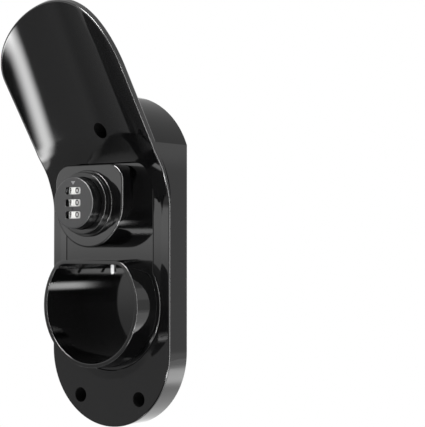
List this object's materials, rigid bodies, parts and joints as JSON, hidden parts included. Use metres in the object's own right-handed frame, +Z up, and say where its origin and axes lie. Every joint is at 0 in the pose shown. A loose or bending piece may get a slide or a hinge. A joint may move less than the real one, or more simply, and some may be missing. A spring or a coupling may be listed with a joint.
{
  "type": "ev connector holder",
  "caption": "Wall holder for a vehicle charging connector: D-shaped dock, combination cam lock whose tongue drops into the dock, and a wide leaning scoop hook for the coiled cable.",
  "frame": {"origin": "midpoint between the two lower wall screw holes, on the wall plane", "axes": "+X across to the viewer's right, +Y into the wall, +Z up; the front faces -Y"},
  "size_m": [0.092, 0.0702, 0.2529],
  "materials": {
    "gloss_black": "moulded, high gloss black",
    "black_coat": "gloss black coated die casting",
    "satin_black": "fine textured satin black",
    "dial_white": "white with dark figures",
    "bright_steel": "bright plated sheet steel",
    "zinc_steel": "zinc plated"
  },
  "bodies": {
    "holder": {"wall_body": "gloss_black", "dock_insert": "gloss_black", "insert_screw_1": "zinc_steel", "insert_screw_2": "zinc_steel", "insert_screw_3": "zinc_steel", "insert_screw_4": "zinc_steel", "lock_barrel": "black_coat", "nut_washer": "zinc_steel", "lock_nut": "zinc_steel"},
    "knob": {"lock_knob": "satin_black", "lock_core": "zinc_steel", "dial_axle": "zinc_steel", "detent_spring": "zinc_steel", "lock_cam": "bright_steel", "cam_washer": "zinc_steel", "cam_screw": "zinc_steel"},
    "dial_a": {"dial_upper": "dial_white"},
    "dial_b": {"dial_middle": "dial_white"},
    "dial_c": {"dial_lower": "dial_white"}
  },
  "joints": [
    {"name": "knob_turn", "type": "hinge", "parent": "holder", "child": "knob", "pos_m": [0, -0.04, 0.1166], "axis": [0, 1, 0], "range_deg": [0, 90]},
    {"name": "dial_upper_spin", "type": "hinge", "parent": "knob", "child": "dial_a", "pos_m": [0, -0.04095, 0.1237], "axis": [0, 0, 1], "continuous": true},
    {"name": "dial_middle_spin", "type": "hinge", "parent": "knob", "child": "dial_b", "pos_m": [0, -0.04095, 0.1166], "axis": [0, 0, 1], "continuous": true},
    {"name": "dial_lower_spin", "type": "hinge", "parent": "knob", "child": "dial_c", "pos_m": [0, -0.04095, 0.1095], "axis": [0, 0, 1], "continuous": true}
  ]
}
